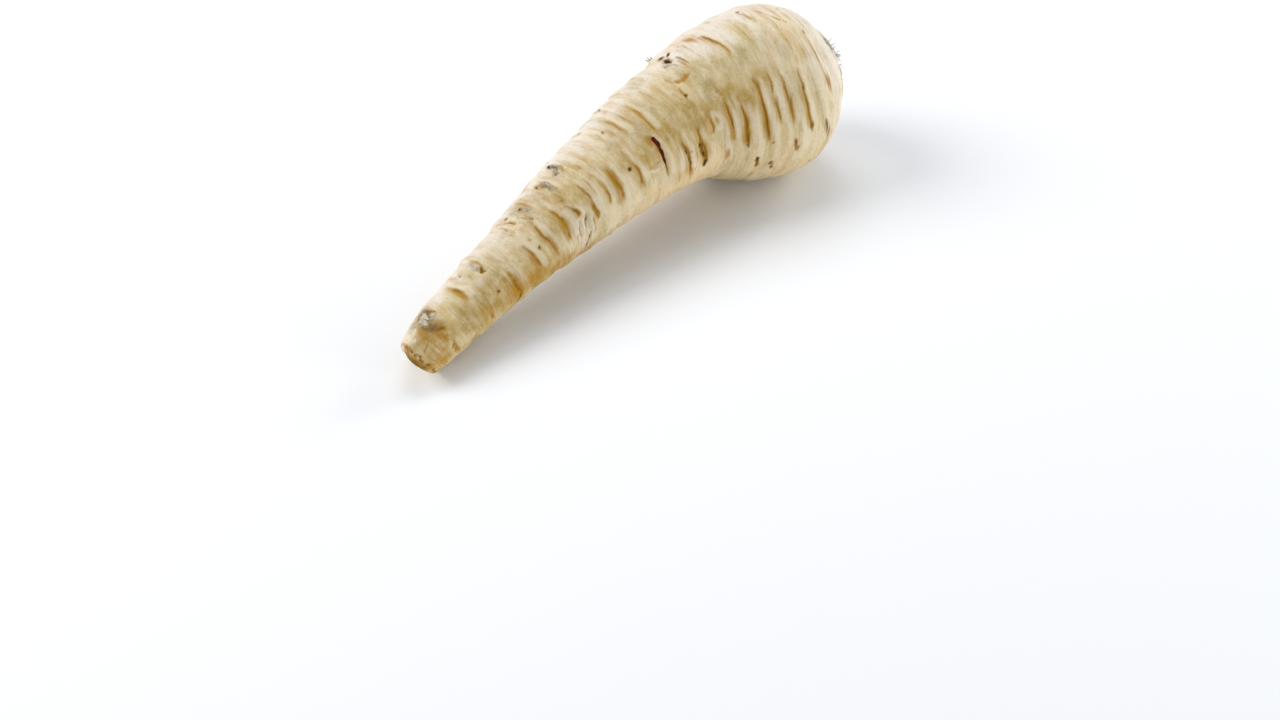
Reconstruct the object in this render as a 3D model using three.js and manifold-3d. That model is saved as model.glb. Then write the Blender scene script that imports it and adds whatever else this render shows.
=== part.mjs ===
import * as THREE from "three";
import Module from "manifold-3d";

// A parsnip lying on its side: millimetres, +Z up, crown towards +X, broken tip towards -X.
// "Station" is the distance along the bent middle line; the break lies just before 0.
// "Angle" goes round that line in degrees: 0 is the -Y side, 90 the top, 180 the +Y side.

const rootLength = 207;
const breakRadius = 9.5;
const shoulderRadius = 33;
const crownScarRadius = 15.6;
const breakSlant = 5.8;
const wornDepth = 2.2;
const wornAngle = 52;
const breakTurn = 0.91;
const restLevel = 1.0;
const sectors = 34;
const bodyRings = 128;
const crownRings = 20;

// Middle line, tip to crown: a gentle sideways bow and a low arch that clears the floor.
const middleLine = new THREE.CatmullRomCurve3(
  [
    new THREE.Vector3(0, 0, 9.2),
    new THREE.Vector3(36, 3, 17.3),
    new THREE.Vector3(72, 6.5, 24.6),
    new THREE.Vector3(108, 8.5, 30.6),
    new THREE.Vector3(144, 8.5, 34.5),
    new THREE.Vector3(180, 1, 32.9),
    new THREE.Vector3(203, -4, 32.6),
  ],
  false,
  "catmullrom",
  0.5,
);

// Half outlines as [station, radius]: the broken face, the skin, and the scar in the crown.
const breakOutline = [[-1.4, 0], [-2.0, 3.2], [-1.6, 6.0], [-2.5, 8.0], [-2.2, 9.0], [-0.8, 9.5]];
const skinOutline = [
  [-0.8, 9.5],
  [23, 10.9],
  [46, 12.4],
  [71, 15.4],
  [97, 18.1],
  [123, 21.2],
  [143, 24.8],
  [157, 29.4],
  [167, 31.8],
  [177, shoulderRadius],
  [188, 31.7],
  [197, 27.3],
  [203, 21.1],
  [206.4, 17.0],
];
const crownOutline = [
  [206.4, 17.0],
  [207.0, crownScarRadius],
  [206.3, 14.5],
  [204.6, 13.4],
  [205.9, 11.8],
  [204.2, 10.2],
  [205.8, 8.4],
  [203.4, 6.4],
  [205.6, 5.0],
  [206.6, 3.2],
  [206.2, 0],
];

// Lumps, knots and pits as [station, angle, length, width, height] in mm across the skin.
const lumps = [
  [188, -38, 13, 20, 1.1],
  [116, 133, 9, 13, 0.6],
  [141, 124, 6, 11, -1.3],
  [37, 135, 6, 7, 0.6],
  [158, -100, 16, 12, 1.2],
  [138.5, 91, 3.4, 4.6, 1.0],
  [138, 76, 2.0, 5.0, -0.8],
  [142.5, 107, 1.8, 2.2, -0.9],
  [143.5, 137, 1.3, 1.5, 1.3],
  [82, 112, 2.2, 4.2, 0.8],
  [74, 100, 2.6, 4.8, 0.8],
  [77.5, 108, 1.6, 5.0, -0.5],
  [58.5, 88, 1.8, 4.0, 0.6],
  [32, 86, 1.7, 2.2, -0.9],
  [32.5, 104, 2.4, 3.2, 0.7],
  [10.5, 98, 2.4, 5.5, 0.8],
  [110, 22, 2.6, 2.0, -0.5],
  [96, 205, 2.2, 4.4, 0.9],
  [131, 248, 2.4, 3.8, 0.8],
  [63, 262, 2.0, 3.6, 0.7],
  [150, 182, 2.4, 4.6, 0.9],
  [170, 222, 2.0, 3.2, -0.8],
  [44, 196, 2.0, 3.0, 0.6],
  [-1, 128, 6, 8, -1.9],
];

// Creases across the root as [station, angle, half span, lean, bow, depth]: lean is mm per degree,
// and bow is how far both ends lie beyond the middle, in mm.
const creases = [
  [160.9, 24, 37, -0.067, -0.9, 0.9],
  [165.0, 30, 26, -0.06, 0.6, 0.7],
  [170.2, 33, 28, -0.055, 0, 0.8],
  [177.6, 18, 34, -0.075, 0, 0.8],
  [189.8, 42, 34, -0.059, 0, 0.7],
  [198.5, 30, 18, -0.03, 0, 0.6],
  [145.5, 27, 30, -0.043, 0, 0.9],
  [152.5, 14, 30, -0.055, 0, 0.9],
  [131.5, 14, 30, 0, 0.2, 0.8],
  [124.0, 11, 36, -0.009, -0.3, 0.8],
  [154.8, 84, 22, -0.053, 0.6, 0.5],
  [172.9, 92, 15, -0.11, -1.2, 0.4],
  [117.2, 79, 24, 0.044, 0, 0.6],
  [108.5, 88, 21, 0, 0, 0.5],
  [113.9, 26, 26, 0, 0.35, 1.5],
  [101.9, 36, 26, -0.015, 0.8, 0.6],
  [92.9, 35, 26, 0.015, 0, 0.7],
  [87.2, 41, 21, -0.016, 0.6, 0.5],
  [80.3, 36, 26, 0, 0, 0.7],
  [66.6, 54, 34, 0.003, -0.4, 0.8],
  [58.0, 35, 26, -0.016, 1.1, 0.8],
  [49.7, 32, 22, -0.006, 0.4, 0.8],
  [38.1, 10, 34, -0.01, 1.2, 1.0],
  [58.1, 87, 18, -0.08, 0, 0.6],
  [53.9, 105, 20, 0, 0, 0.6],
  [73.2, 96, 19, -0.096, 0, 0.6],
  [21.3, 89, 34, 0.003, 0, 0.9],
];
const looseCreases = 62;
const creaseWidth = 1.7;

// A repeatable number from 0 to 1 for each whole n.
function chance(n) {
  const x = Math.sin(n * 12.9898) * 43758.5453;
  return x - Math.floor(x);
}

// More creases scattered over the far side and the underside, crowding towards the swollen end.
for (let i = 0; i < looseCreases; i += 1) {
  const station = 16 + 178 * Math.pow(chance(5 * i + 1), 0.72);
  const angle = 140 + 165 * chance(5 * i + 2);
  const span = 16 + 30 * chance(5 * i + 3);
  const lean = 0.12 * (chance(5 * i + 4) - 0.5);
  const depth = 0.35 + 0.5 * chance(5 * i + 5);
  creases.push([station, angle, span, lean, 0, depth]);
}

function turnBetween(a, b) {
  return ((((a - b + 180) % 360) + 360) % 360) - 180;
}

// How far the skin stands out from its plain outline, in mm.
function relief(station, angle, radius) {
  const turn = THREE.MathUtils.degToRad(angle);
  let height = 0.011 * radius * Math.cos(2 * turn + 0.021 * station);
  height += 0.007 * radius * Math.cos(3 * turn - 0.034 * station + 1);
  height += 0.16 * Math.sin(0.61 * station + 0.9 * Math.sin(turn + 0.8));
  for (const [at, around, length, width, rise] of lumps) {
    const along = (station - at) / length;
    const across = THREE.MathUtils.degToRad(turnBetween(angle, around)) * radius / width;
    height += rise * Math.exp(-along * along - across * across);
  }
  for (const [at, around, span, lean, bow, depth] of creases) {
    const swing = turnBetween(angle, around);
    const bend = (swing / span) * (swing / span);
    const reach = 1 - bend;
    if (reach > 0) {
      const away = (station - at - lean * swing - bow * bend) / creaseWidth;
      const lip = Math.abs(away) - 2.1;
      height += reach * depth * (0.22 * Math.exp(-lip * lip) - Math.exp(-away * away));
    }
  }
  return height;
}

// The worn end: how far the skin may stand out before a nearly flat facet cuts it off.
function wornLimit(station, angle, radius) {
  const slope = wornDepth * (1 - THREE.MathUtils.smoothstep(station, -3, 10));
  const facet = breakRadius + 0.5 - slope + 0.5 * Math.max(0, station - 7);
  const facing = Math.cos(THREE.MathUtils.degToRad(turnBetween(angle, wornAngle)));
  return facet / Math.max(facing, 0.2) - radius;
}

function outlineStations(points, rings) {
  const curve = new THREE.CatmullRomCurve3(
    points.map(([station, radius]) => new THREE.Vector3(station, radius, 0)),
  );
  return curve.getSpacedPoints(rings);
}

// A ring's centre and its sideways and upward directions on the middle line.
function frameAt(station) {
  const u = THREE.MathUtils.clamp(station / rootLength, 0, 1);
  const along = middleLine.getTangentAt(u);
  const centre = middleLine.getPointAt(u).addScaledVector(along, station - u * rootLength);
  const up = new THREE.Vector3(0, 0, 1).addScaledVector(along, -along.z).normalize();
  const side = new THREE.Vector3().crossVectors(along, up);
  return { centre, side, up };
}

function skinPoint(station, radius, angle) {
  const turn = THREE.MathUtils.degToRad(angle);
  const nearBreak = Math.max(0, 1 - station / 26);
  const slant = breakSlant * Math.cos(turn - breakTurn) * (radius / breakRadius) * nearBreak * nearBreak;
  const { centre, side, up } = frameAt(station - slant);
  const onSkin = THREE.MathUtils.smoothstep(radius, 5, breakRadius);
  const inCrown = THREE.MathUtils.smoothstep(station, 201, 205);
  const skin = Math.min(relief(station, angle, radius), wornLimit(station, angle, radius));
  let out = radius + onSkin * (1 - inCrown) * skin;
  out += inCrown * 0.05 * radius * Math.sin(3 * turn + 0.9 * radius) * (radius > 1 ? 1 : 0);
  const across = side.multiplyScalar(Math.cos(turn)).addScaledVector(up, Math.sin(turn));
  return centre.addScaledVector(across, out);
}

function buildSkin() {
  const outline = [
    ...outlineStations(breakOutline, 7).slice(0, -1),
    ...outlineStations(skinOutline, bodyRings).slice(0, -1),
    ...outlineStations(crownOutline, crownRings),
  ];
  const first = outline[0];
  const last = outline[outline.length - 1];
  const rings = outline.slice(1, -1);
  const positions = [...frameAt(first.x).centre.toArray()];
  for (const ring of rings) {
    for (let k = 0; k < sectors; k += 1) {
      positions.push(...skinPoint(ring.x, ring.y, (360 * k) / sectors).toArray());
    }
  }
  positions.push(...frameAt(last.x).centre.toArray());
  const end = 1 + rings.length * sectors;
  const index = [];
  for (let k = 0; k < sectors; k += 1) {
    const next = (k + 1) % sectors;
    index.push(0, 1 + k, 1 + next);
    index.push(end, end - sectors + next, end - sectors + k);
  }
  for (let j = 0; j < rings.length - 1; j += 1) {
    for (let k = 0; k < sectors; k += 1) {
      const next = (k + 1) % sectors;
      const a = 1 + j * sectors + k;
      const b = 1 + j * sectors + next;
      const c = a + sectors;
      const d = b + sectors;
      index.push(a, d, b, a, c, d);
    }
  }
  return { positions, index };
}

const wasm = await Module();
wasm.setup();

function toSolid(positions, index) {
  const mesh = new wasm.Mesh({
    numProp: 3,
    vertProperties: new Float32Array(positions),
    triVerts: new Uint32Array(index),
  });
  return new wasm.Manifold(mesh);
}

// Everything under the rest level, which leaves one flat under the bulge and one under the tip.
function underFloor() {
  const block = new THREE.BoxGeometry(rootLength + 60, 120, 40);
  block.translate(rootLength / 2, 0, restLevel - 20);
  const corners = block.getAttribute("position");
  const merged = new Map();
  const positions = [];
  const renumbered = [];
  for (let i = 0; i < corners.count; i += 1) {
    const corner = [corners.getX(i), corners.getY(i), corners.getZ(i)];
    const key = corner.join();
    if (!merged.has(key)) {
      merged.set(key, merged.size);
      positions.push(...corner);
    }
    renumbered.push(merged.get(key));
  }
  const index = Array.from(block.getIndex().array, (i) => renumbered[i]);
  return toSolid(positions, index);
}

function rootGeometry() {
  const skin = buildSkin();
  const cut = toSolid(skin.positions, skin.index).subtract(underFloor()).getMesh();
  const geometry = new THREE.BufferGeometry();
  geometry.setAttribute("position", new THREE.Float32BufferAttribute(cut.vertProperties, 3));
  geometry.setIndex(Array.from(cut.triVerts));
  geometry.computeVertexNormals();
  geometry.computeBoundingBox();
  const box = geometry.boundingBox;
  geometry.translate(-(box.min.x + box.max.x) / 2, -(box.min.y + box.max.y) / 2, -box.min.z);
  return geometry;
}

const rootSkin = new THREE.MeshStandardMaterial({ color: "#d6c69f", roughness: 0.72, metalness: 0 });
const root = new THREE.Mesh(rootGeometry(), rootSkin);
root.name = "parsnip_root";

const parsnip = new THREE.Group();
parsnip.name = "parsnip";
parsnip.add(root);

export default parsnip;
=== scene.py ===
import math
import bpy
import numpy as np
from mathutils import Euler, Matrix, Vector


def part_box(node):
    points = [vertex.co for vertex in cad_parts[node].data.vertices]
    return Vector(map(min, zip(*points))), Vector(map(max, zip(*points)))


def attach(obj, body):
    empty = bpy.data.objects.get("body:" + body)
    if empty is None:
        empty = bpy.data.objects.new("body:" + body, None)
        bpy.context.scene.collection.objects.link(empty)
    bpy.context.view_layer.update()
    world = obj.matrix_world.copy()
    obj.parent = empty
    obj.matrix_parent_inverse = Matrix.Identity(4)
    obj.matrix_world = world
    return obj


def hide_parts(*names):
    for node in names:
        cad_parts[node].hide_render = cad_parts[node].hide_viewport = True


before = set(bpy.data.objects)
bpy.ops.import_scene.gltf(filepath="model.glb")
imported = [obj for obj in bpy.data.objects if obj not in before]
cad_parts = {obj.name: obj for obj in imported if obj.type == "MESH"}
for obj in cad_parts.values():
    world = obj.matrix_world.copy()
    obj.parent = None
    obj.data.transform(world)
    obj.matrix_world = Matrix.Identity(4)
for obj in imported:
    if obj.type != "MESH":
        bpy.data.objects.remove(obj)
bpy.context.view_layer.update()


def hexColour(code):
    # sRGB hex to the linear numbers that the shaders use
    parts = [int(code[i:i + 2], 16) / 255 for i in (1, 3, 5)]
    return (*[p / 12.92 if p <= 0.04045 else ((p + 0.055) / 1.055) ** 2.4 for p in parts], 1.0)


def addNode(tree, kind, values=None, links=None, **settings):
    # a link comes from a socket, or from a node that stands for its first output
    node = tree.nodes.new(kind)
    for name, value in settings.items():
        setattr(node, name, value)
    for socket, value in (values or {}).items():
        node.inputs[socket].default_value = value
    for socket, source in (links or {}).items():
        tree.links.new(getattr(source, "outputs", [source])[0], node.inputs[socket])
    return node


# camera, floor and light
studio = {
    "cameraAt": (-0.4512, -0.4527, 0.4797),
    "cameraTurn": -45.68,      # degrees about the vertical
    "cameraDip": 40.0,         # degrees below level
    "lens": 60.0,
    "floorSize": 6.0,
    "floorColour": "#f3f4f5",
    "floorRoughness": 0.9,
    "floorSheen": 0.2,
    "skyColour": "#e9eff9",
    "skyStrength": 0.4,
    # name: place, what it points at, size, power in watts, colour
    "lamps": {
        "keySoftbox": ((-0.75, 0.85, 0.95), (0.0, 0.0, 0.0), 1.0, 14.9, "#fffdfb"),
        "topSoftbox": ((0.35, 0.45, 1.2), (0.0, 0.0, 0.0), 0.9, 5.0, "#ffffff"),
        "sideSoftbox": ((1.15, -0.1, 0.45), (0.08, 0.0, 0.03), 0.6, 5.5, "#ffffff"),
        "lowFill": ((0.3, -1.0, 0.16), (0.05, 0.0, 0.02), 0.5, 4.2, "#ffffff"),
    },
}

cameraData = bpy.data.cameras.new("studioCamera")
cameraData.lens = studio["lens"]
cameraData.sensor_width = 36
camera = bpy.data.objects.new("studioCamera", cameraData)
camera.location = studio["cameraAt"]
camera.rotation_euler = Euler((
    math.radians(90 - studio["cameraDip"]), 0, math.radians(studio["cameraTurn"])))
bpy.context.scene.collection.objects.link(camera)
bpy.context.scene.camera = camera

bpy.ops.mesh.primitive_plane_add(size=studio["floorSize"], location=(0, 0, 0))
floor = bpy.context.object
floor.name = "floor"
paper = bpy.data.materials.new("matteBackdropPaper")    # uncoated white paper: no sheen, soft shadows
paper.use_nodes = True
paperShader = paper.node_tree.nodes["Principled BSDF"]
paperShader.inputs["Base Color"].default_value = hexColour(studio["floorColour"])
paperShader.inputs["Roughness"].default_value = studio["floorRoughness"]
paperShader.inputs["Specular IOR Level"].default_value = studio["floorSheen"]
floor.data.materials.append(paper)

world = bpy.data.worlds.new("studioSky")
world.use_nodes = True
sky = world.node_tree.nodes["Background"]
sky.inputs["Color"].default_value = hexColour(studio["skyColour"])
sky.inputs["Strength"].default_value = studio["skyStrength"]
bpy.context.scene.world = world
bpy.context.scene.view_settings.view_transform = "Standard"    # hex colours come out as given

for name, (place, aim, size, power, colour) in studio["lamps"].items():
    lampData = bpy.data.lights.new(name, "AREA")
    lampData.shape = "DISK"
    lampData.size = size
    lampData.energy = power
    lampData.color = hexColour(colour)[:3]
    lamp = bpy.data.objects.new(name, lampData)
    lamp.location = place
    lamp.rotation_euler = (Vector(aim) - Vector(place)).to_track_quat("-Z", "Y").to_euler()
    bpy.context.scene.collection.objects.link(lamp)
print("camera, floor and light ready")

# The root's surface. Lengths are millimetres along the bent middle line, from the tip's
# break to the crown (a station), and across the skin. Angles go round it in degrees:
# 0 is the -Y side, 90 the top, 180 the +Y side.
root = {
    "length": 207.0,
    "middleLine": [
        (0, 0, 9.2), (36, 3, 17.3), (72, 6.5, 24.6), (108, 8.5, 30.6),
        (144, 8.5, 34.5), (180, 1, 32.9), (203, -4, 32.6),
    ],
    # half outlines: station, radius
    "breakOutline": [(-1.4, 0), (-2.0, 3.2), (-1.6, 6.0), (-2.5, 8.0), (-2.2, 9.0), (-0.8, 9.5)],
    "skinOutline": [
        (-0.8, 9.5), (23, 10.9), (46, 12.4), (71, 15.4), (97, 18.1), (123, 21.2), (143, 24.8),
        (157, 29.4), (167, 31.8), (177, 33.0), (188, 31.7), (197, 27.3), (203, 21.1), (206.4, 17.0),
    ],
    "crownOutline": [
        (206.4, 17.0), (207.0, 15.6), (206.3, 14.5), (204.6, 13.4), (205.9, 11.8), (204.2, 10.2),
        (205.8, 8.4), (203.4, 6.4), (205.6, 5.0), (206.6, 3.2), (206.2, 0),
    ],
    "breakRings": 14,
    "bodyRings": 380,
    "crownRings": 52,
    "sectors": 216,
    "breakRadius": 9.5,
    "breakSlant": 5.8,             # how far the break leans along the root at its rim
    "slantReach": 26,              # the lean has faded out this far up
    "wornDepth": 2.2,
    "wornAngle": 52,
    "wornReach": (-3, 10),         # the worn facet runs out between these stations
    "restLevel": 1.0,              # the flats that it lies on are cut at this height
    "oval": 0.011,                 # shares of the radius
    "threeSided": 0.007,
    "ringWave": 0.16,              # height of the faint rings
    # height, cell in mm, cells round the root, seed
    "fineRelief": [(0.2, 7.0, 9, 11), (0.11, 2.6, 14, 12), (0.07, 1.3, 26, 13)],
    "looseCreases": 62,
    "hairCreases": 420,
}
# heights are shares of a crease's depth, the rest shares of its width
crease = {
    "grooveDepth": 0.32,
    "crispSide": 0.8,        # the groove's side towards the crown
    "fadingSide": 1.6,       # and towards the tip
    "lipHeight": 0.24,
    "lipAway": 2.9,
    "lipWidth": 2.0,
    "highlightFrom": 0.3,       # a painted highlight lies on the raised skin above the lip where the depth in mm is more
    "highlightAway": 3.2,
    "highlightWidth": 2.2,
}
# the snapped end: roughness in mm, then radii between which each of its parts sets in
snapped = {"roughness": 0.35, "torn": (8.6, 9.6), "brownRim": (7.2, 9.2), "flesh": (8.0, 9.3)}
crown = {
    "reach": (200.8, 205),         # skin turns into crown between these stations
    "raggedReach": (203.5, 206),
    "raggedRadius": 15.2,
    "roughness": (1.3, 0.8),       # mm up and down, broad and fine
    "rim": (14.6, 16.6),           # its dark colour runs out between these radii
    "dirtyRing": (17.4, 1.5),      # radius and width of the stain on the skin round it
    "ridges": (204.2, 206.9),      # its rings turn pale between these stations
}
# broad zones of painted light, a highlight on the upper side and shoulder and warm bounce light on the
# underside: angles or stations between which each sets in or fades
zones = {
    "highlightSide": (68, 118),
    "highlightFarSide": (170, 230),
    "paintedShoulderHighlight": (180, 200),
    "bounceSide": (-38, 22),
    "bounceFrom": (74, 108),
    "bounceFading": (128, 150),
}
tintEdge = (4.0, 7.0)    # how far in mm the edges of broad tints wander, and over what length
scabEdge = (1.0, 2.2)

# lumps, knots and pits: station, angle, length, width, height
lumps = [
    (188, -38, 13, 20, 1.1), (116, 133, 9, 13, 0.6), (141, 124, 6, 11, -1.3), (37, 135, 6, 7, 0.6),
    (158, -100, 16, 12, 1.2), (138.5, 91, 3.4, 4.6, 1), (138, 76, 2, 5, -0.8),
    (142.5, 107, 1.8, 2.2, -0.9), (143.5, 137, 1.3, 1.5, 1.3), (82, 112, 2.2, 4.2, 0.8),
    (74, 100, 2.6, 4.8, 0.8), (77.5, 108, 1.6, 5, -0.5), (58.5, 88, 1.8, 4, 0.6),
    (32, 86, 1.7, 2.2, -0.9), (32.5, 104, 2.4, 3.2, 0.7), (10.5, 98, 2.4, 5.5, 0.8),
    (110, 22, 2.6, 2, -0.5), (96, 205, 2.2, 4.4, 0.9), (131, 248, 2.4, 3.8, 0.8), (63, 262, 2, 3.6, 0.7),
    (150, 182, 2.4, 4.6, 0.9), (170, 222, 2, 3.2, -0.8), (44, 196, 2, 3, 0.6), (-1, 128, 6, 8, -1.9),
]

# creases across the root: path from the upper end down as (station, angle), depth, width, stain
creases = [
    ([(158.2, 50), (160.4, 42), (160.9, 28), (161.4, 15), (162.5, -2)], 0.9, 0.75, 0.95),
    ([(164.6, 53), (165.4, 37), (165.8, 25), (167.2, 10)], 0.7, 0.55, 0.75),
    ([(169, 51), (170.7, 39), (171.4, 27), (172.4, 8)], 0.8, 0.6, 0.75),
    ([(177.1, 45), (177.6, 38), (177.8, 30), (178.2, 22), (178.8, 13), (179.9, 3)], 0.8, 0.6, 0.8),
    ([(187.9, 70), (188.4, 57), (189.1, 45), (190.2, 35), (190.9, 24)], 0.42, 0.45, 0.65),
    ([(145.8, 40), (146.4, 28), (146.9, 13), (146.9, 3)], 0.9, 0.8, 0.95),
    ([(152.2, 32), (152.8, 18), (152.8, 5), (153.3, -3)], 0.9, 1, 1),
    ([(137.6, 38), (138.7, 30), (138.7, 22), (137.6, 17)], 0.5, 0.9, 0.8),
    ([(131.5, 32), (131.5, 18), (132.6, 5), (132.6, -12)], 0.8, 0.8, 0.95),
    ([(124.2, 38), (123.6, 23), (124.2, 10), (124.8, -13)], 0.8, 0.7, 0.9),
    ([(156, 66), (156, 77), (154.9, 87), (153.8, 101)], 0.5, 0.5, 0.8),
    ([(170.9, 107), (171.4, 93), (172.6, 85)], 0.4, 0.6, 0.45),
    ([(117.7, 100), (117.5, 78), (116.8, 67), (116.9, 52)], 0.5, 0.6, 0.65),
    ([(108.6, 112), (107.9, 93), (107.9, 83), (108.6, 66)], 0.45, 0.6, 0.65),
    ([(100.6, 115), (100.6, 103), (101.2, 93), (100.6, 80)], 0.35, 0.5, 0.5),
    ([(86.5, 105), (86.5, 88), (87.1, 75)], 0.45, 0.5, 0.5),
    ([(101.4, 62), (102.1, 44), (102.7, 30), (102.1, 8)], 0.4, 0.55, 0.75),
    ([(92.9, 60), (92.4, 42), (93.1, 27), (92.6, 8)], 0.4, 1, 0.7),
    ([(86.9, 66), (87.6, 45), (87.1, 18)], 0.34, 0.6, 0.75),
    ([(80.1, 74), (80.5, 42), (80.1, 12)], 0.42, 0.65, 0.75),
    ([(65.5, 84), (66.7, 58), (67, 42), (66.1, 14)], 0.48, 0.95, 0.8),
    ([(58.6, 84), (57.8, 50), (58.4, 30), (59.2, 6)], 0.48, 0.7, 0.8),
    ([(49.2, 62), (50, 32), (50.2, 4)], 0.46, 0.65, 0.8),
    ([(39.5, 50), (38.7, 20), (39.3, -7), (38.2, -28)], 0.65, 1, 0.9),
    ([(21.2, 118), (21.2, 93), (21.8, 77), (21.8, 56)], 0.8, 0.6, 0.8),
    ([(70.8, 58), (73, 43), (73.4, 31)], 0.5, 0.4, 0.85),
    ([(72.6, 50), (73.8, 33)], 0.4, 0.4, 0.75),
    ([(53.4, 113), (54.5, 102), (55.1, 90)], 0.6, 0.6, 0.75),
    ([(50.6, 116), (51.1, 98), (52.3, 80)], 0.6, 0.7, 0.55),
    ([(113.4, 58), (114.1, 40), (114.1, 20), (114.4, 0)], 1.3, 0.7, 0.5),
]
# shallower ones between them: station, angle, half span, lean in mm per degree, depth, width, stain
faintCreases = [
    (134.8, 14, 18, 0, 0.3, 0.6, 0.3), (142.4, 2, 20, -0.02, 0.35, 0.6, 0.35),
    (149.3, 24, 20, -0.03, 0.35, 0.6, 0.3), (156.6, 6, 22, -0.03, 0.4, 0.6, 0.3),
    (163.3, 2, 20, -0.04, 0.35, 0.6, 0.35), (168.6, 12, 20, -0.05, 0.35, 0.6, 0.3),
    (175, 8, 22, -0.06, 0.4, 0.6, 0.35), (183.6, 24, 24, -0.07, 0.4, 0.7, 0.35),
    (194.4, 52, 26, -0.04, 0.4, 0.7, 0.3), (127.6, 22, 20, 0, 0.3, 0.6, 0.3),
    (119.2, 14, 20, 0, 0.35, 0.7, 0.3), (97, 20, 18, 0, 0.3, 0.7, 0.3), (62, 12, 18, 0, 0.35, 0.7, 0.35),
    (44, 30, 20, 0, 0.3, 0.7, 0.3), (30.4, 62, 20, 0, 0.3, 0.7, 0.25), (136, 108, 22, 0, 0.35, 0.8, 0.25),
    (96.5, 96, 24, 0, 0.35, 0.8, 0.3), (101, 84, 16, 0, 0.3, 0.7, 0.3),
    (198.5, 30, 18, -0.03, 0.5, 0.7, 0.4), (73.2, 96, 16, -0.09, 0.6, 0.6, 0.6),
    (183.6, 91, 14, -0.02, 0.35, 0.6, 0.45), (90, 78, 26, 0.01, 0.18, 0.45, 0.4),
    (95.2, 70, 24, 0, 0.18, 0.45, 0.35), (104.9, 80, 26, 0.01, 0.18, 0.45, 0.4),
    (112.2, 86, 20, 0, 0.14, 0.45, 0.35), (83.4, 62, 24, 0, 0.14, 0.45, 0.4),
    (69.2, 72, 20, 0, 0.18, 0.45, 0.4), (46.6, 62, 24, 0.01, 0.14, 0.45, 0.35),
    (42.2, 78, 22, 0, 0.14, 0.45, 0.35), (35.8, 60, 24, 0, 0.14, 0.45, 0.3),
    (27.2, 64, 24, 0, 0.14, 0.45, 0.3), (17.4, 56, 22, 0, 0.14, 0.45, 0.3),
    (178.6, 78, 24, -0.02, 0.14, 0.45, 0.45), (165.4, 82, 22, -0.02, 0.14, 0.45, 0.4),
    (148.4, 92, 18, 0, 0.14, 0.45, 0.35), (190.8, 88, 20, -0.01, 0.18, 0.45, 0.4),
    (125.4, 84, 22, 0, 0.14, 0.45, 0.35), (129.8, 74, 20, 0, 0.14, 0.45, 0.35),
]

# marks that colour the skin: station, angle, length, width in mm, strength
soilSpecks = [
    (31.8, 31, 0.8, 0.9, 0.85), (38.8, 22, 0.7, 2, 0.5), (50, 85, 0.7, 0.9, 0.4),
    (52.8, 56, 0.6, 0.6, 0.55), (53.8, 37, 0.8, 0.9, 0.85), (59.6, 78, 0.8, 1, 0.7),
    (64.5, 58, 0.5, 0.7, 0.5), (91, 74, 0.5, 0.6, 0.4), (99.8, 38, 0.7, 0.9, 1), (103, 91, 0.7, 0.8, 0.8),
    (111.5, 68, 0.5, 0.5, 0.45), (117, 100, 0.5, 0.8, 0.4), (130.4, 13, 1, 1.3, 1.15),
    (131.2, 1, 0.9, 1.6, 1.1), (131.8, -11, 1, 1.5, 1.1), (132, -9, 1.1, 1.4, 1.15),
    (145.4, 49, 0.6, 0.7, 0.5), (146.1, 12, 0.6, 3, 0.45), (152.8, -3, 0.8, 0.9, 0.7),
    (153.3, -4, 0.6, 1.4, 0.8), (160.9, 8, 0.8, 3.5, 0.5), (163.6, -3, 0.8, 0.9, 0.7),
    (165.2, -22, 0.9, 1.1, 0.9), (165.9, 26, 0.7, 2.6, 0.5), (166.4, -27, 0.9, 1.2, 0.9),
    (171.8, 24, 0.7, 2.6, 0.55), (171.8, 106, 0.7, 1.2, 0.95), (173.4, 92, 0.5, 3.4, 0.4),
    (175.1, -11, 0.8, 1.6, 0.8), (178, 31, 0.6, 2.2, 0.75), (178.5, 20, 0.7, 2, 0.6),
    (180.3, 3, 0.7, 2.4, 0.75), (183.4, -32, 0.6, 0.8, 0.9), (186.2, 0, 0.8, 2.8, 0.6),
    (187.4, 94, 0.7, 0.9, 0.8), (189, 67, 0.6, 1.2, 0.8), (189.2, -7, 0.8, 4, 0.7),
]
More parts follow.
